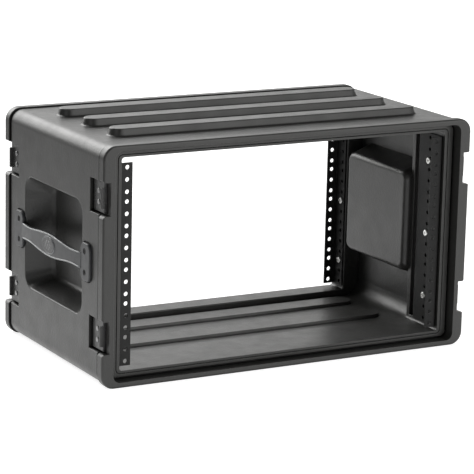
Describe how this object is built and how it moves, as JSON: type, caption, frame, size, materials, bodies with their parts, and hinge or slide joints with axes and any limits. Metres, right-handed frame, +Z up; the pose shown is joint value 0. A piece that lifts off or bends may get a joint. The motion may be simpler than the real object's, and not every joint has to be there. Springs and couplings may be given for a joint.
{
  "type": "equipment rack case",
  "caption": "Shallow roto-moulded rack case body, open front and rear, with screw-hole rack rails, recessed side strap handles, stacking ribs and latch keepers; lids off.",
  "frame": {"origin": "centre of the footprint, on the surface the case stands on", "axes": "+X to the case's right seen from its front, +Y to the rear, +Z up"},
  "size_m": [0.5614, 0.312, 0.324],
  "materials": {
    "shell_plastic": "satin rotomoulded polyethylene with a faint orange-peel texture",
    "rail_coat": "fine-textured black powder coat on steel",
    "bright_screw": "zinc plate",
    "insert_brass": "turned",
    "handle_rubber": "smooth satin rubber over a spring strip",
    "badge_plastic": "satin, plain oval",
    "black_screw": "black oxide",
    "keeper_metal": "satin black coat on pressed steel",
    "rivet_metal": "black rivet, edges rubbed brighter"
  },
  "bodies": {
    "root": {"shell_body": "shell_plastic", "left_handle": "handle_rubber", "left_handle_badge": "badge_plastic", "left_handle_screws": "black_screw", "right_handle": "handle_rubber", "right_handle_badge": "badge_plastic", "right_handle_screws": "black_screw", "front_left_rail": "rail_coat", "front_left_rail_screws": "bright_screw", "front_left_rail_inserts": "insert_brass", "front_left_lower_keeper": "keeper_metal", "front_left_lower_keeper_rivets": "rivet_metal", "front_left_upper_keeper": "keeper_metal", "front_left_upper_keeper_rivets": "rivet_metal", "front_right_rail": "rail_coat", "front_right_rail_screws": "bright_screw", "front_right_rail_inserts": "insert_brass", "front_right_lower_keeper": "keeper_metal", "front_right_lower_keeper_rivets": "rivet_metal", "front_right_upper_keeper": "keeper_metal", "front_right_upper_keeper_rivets": "rivet_metal", "rear_left_rail": "rail_coat", "rear_left_rail_screws": "bright_screw", "rear_left_rail_inserts": "insert_brass", "rear_left_lower_keeper": "keeper_metal", "rear_left_lower_keeper_rivets": "rivet_metal", "rear_left_upper_keeper": "keeper_metal", "rear_left_upper_keeper_rivets": "rivet_metal", "rear_right_rail": "rail_coat", "rear_right_rail_screws": "bright_screw", "rear_right_rail_inserts": "insert_brass", "rear_right_lower_keeper": "keeper_metal", "rear_right_lower_keeper_rivets": "rivet_metal", "rear_right_upper_keeper": "keeper_metal", "rear_right_upper_keeper_rivets": "rivet_metal"}
  },
  "joints": []
}
